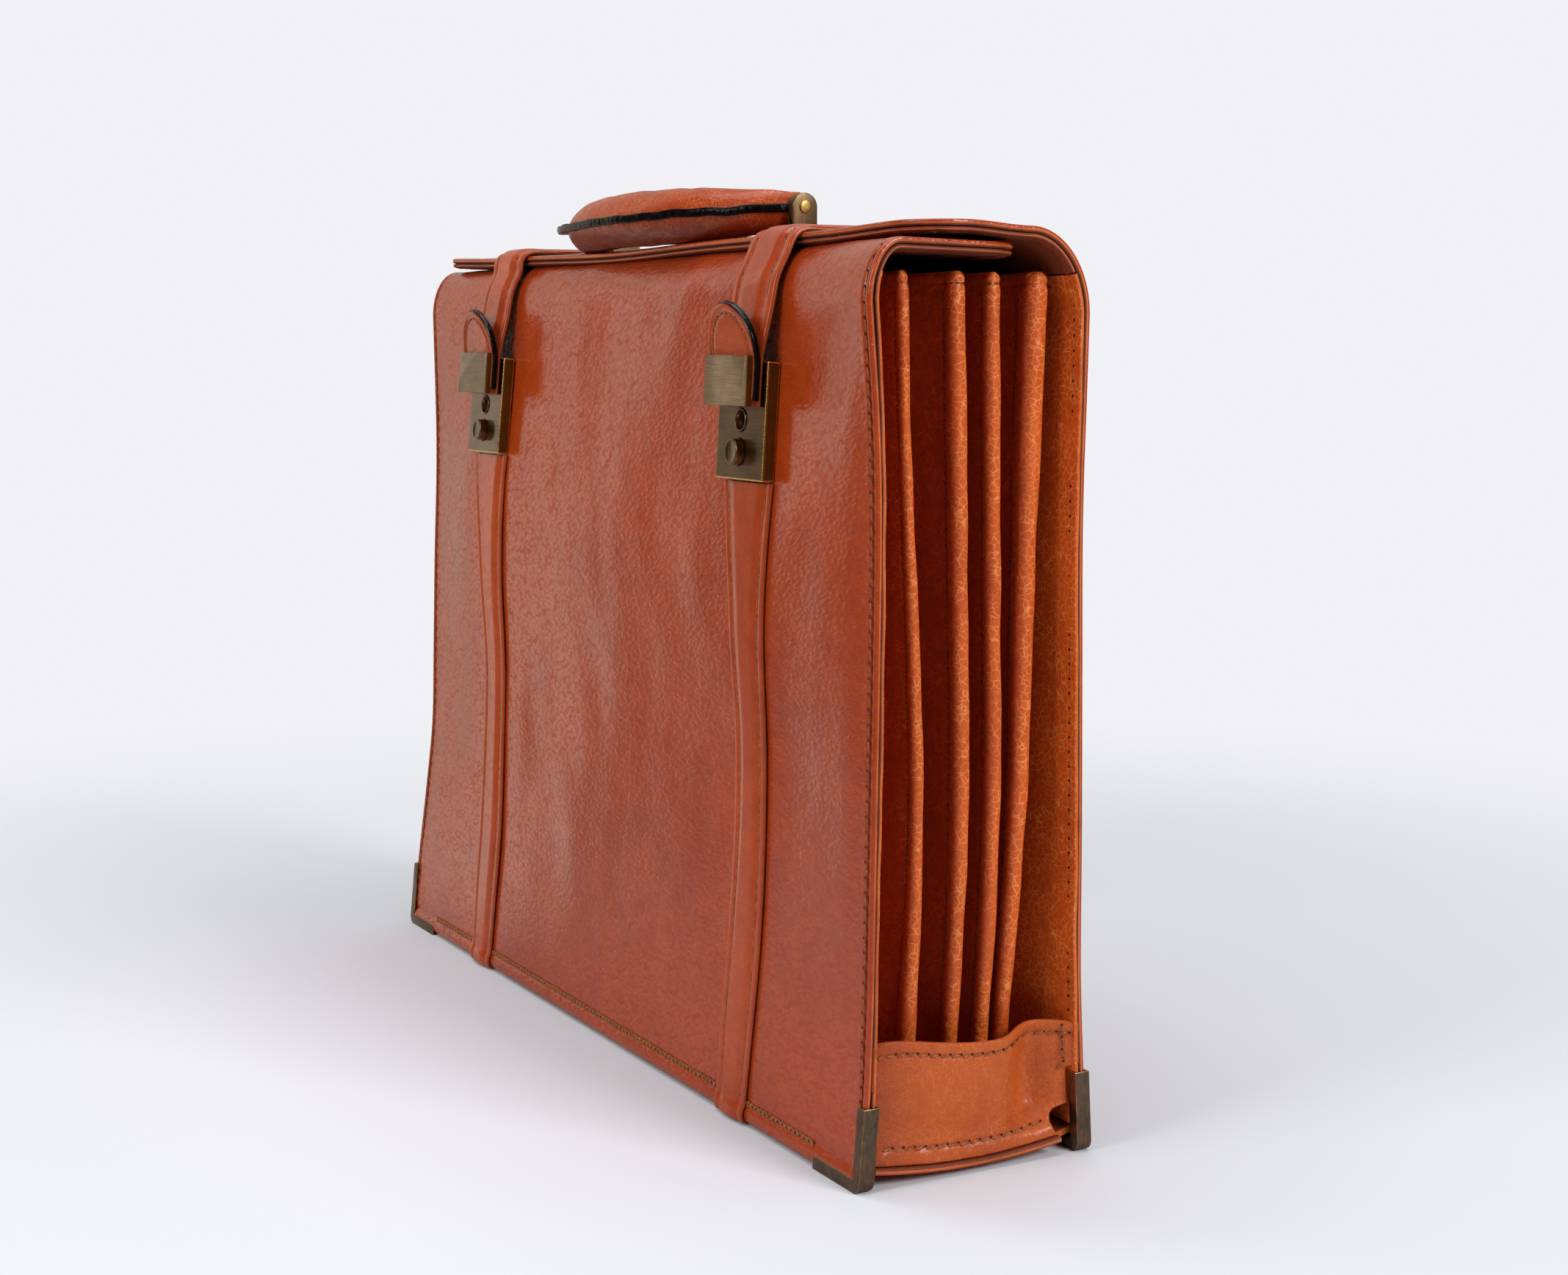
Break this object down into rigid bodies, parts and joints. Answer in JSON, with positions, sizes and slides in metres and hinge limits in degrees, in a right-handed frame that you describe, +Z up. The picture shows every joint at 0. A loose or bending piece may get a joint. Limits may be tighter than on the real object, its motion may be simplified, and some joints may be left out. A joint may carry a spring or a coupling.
{
  "type": "leather briefcase",
  "caption": "Soft leather briefcase with pleated ends, fold-over flap, strap locks, metal corner guards and a hinged padded handle.",
  "frame": {"origin": "on the floor, at the middle of the bag's outline", "axes": "+X to the bag's right end, -Y out of the front, +Z up"},
  "size_m": [0.42, 0.094, 0.3303],
  "materials": {
    "tan_leather": "glossy cognac leather with fine grain",
    "pleat_leather": "satin cognac leather, lighter on the ridges",
    "lining_leather": "plain tan leather, second layer of the edges",
    "strap_leather": "glossy cognac strap leather with black painted edges on the tabs",
    "antique_brass": "darkened brass with bright worn edges",
    "brushed_brass": "brushed antique brass",
    "bright_brass": "polished brass rivet",
    "bronze": "satin antique bronze"
  },
  "bodies": {
    "bag": {"front_panel": "tan_leather", "fold_lining": "lining_leather", "back_panel": "tan_leather", "flap_lining": "lining_leather", "base": "lining_leather", "gusset_left": "pleat_leather", "gusset_right": "pleat_leather", "boot_left": "tan_leather", "boot_right": "tan_leather", "front_strap_left": "strap_leather", "front_strap_right": "strap_leather", "top_strap_left": "strap_leather", "top_strap_right": "strap_leather", "pull_tab_left": "strap_leather", "pull_tab_right": "strap_leather", "hasp_left": "brushed_brass", "hasp_right": "brushed_brass", "lock_case_left": "antique_brass", "lock_case_right": "antique_brass", "corner_front_left": "bronze", "corner_front_right": "bronze", "corner_back_left": "bronze", "corner_back_right": "bronze", "handle_bracket_left": "brushed_brass", "handle_bracket_right": "brushed_brass", "handle_pin_left": "bright_brass", "handle_pin_right": "bright_brass"},
    "handle": {"handle_grip": "tan_leather"},
    "plug_left": {"lock_plug_left": "antique_brass"},
    "plug_right": {"lock_plug_right": "antique_brass"},
    "button_left": {"lock_button_left": "antique_brass"},
    "button_right": {"lock_button_right": "antique_brass"}
  },
  "joints": [
    {"name": "handle_hinge", "type": "hinge", "parent": "bag", "child": "handle", "pos_m": [0, 0.00206, 0.321], "axis": [-1, 0, 0], "range_deg": [0, 178]},
    {"name": "button_slide_left", "type": "slide", "parent": "bag", "child": "button_left", "axis": [0, 0.9957, -0.0922], "range_m": [0, 0.0022], "stiffness_N_per_m": 300, "springref_m": -0.001},
    {"name": "plug_turn_left", "type": "hinge", "parent": "bag", "child": "plug_left", "pos_m": [-0.1195, -0.03738, 0.24619], "axis": [0, 0.9957, -0.0922], "range_deg": [0, 90]},
    {"name": "button_slide_right", "type": "slide", "parent": "bag", "child": "button_right", "axis": [0, 0.9979, -0.0655], "range_m": [0, 0.0022], "stiffness_N_per_m": 300, "springref_m": -0.001},
    {"name": "plug_turn_right", "type": "hinge", "parent": "bag", "child": "plug_right", "pos_m": [0.1195, -0.03846, 0.24615], "axis": [0, 0.9979, -0.0655], "range_deg": [0, 90]}
  ]
}
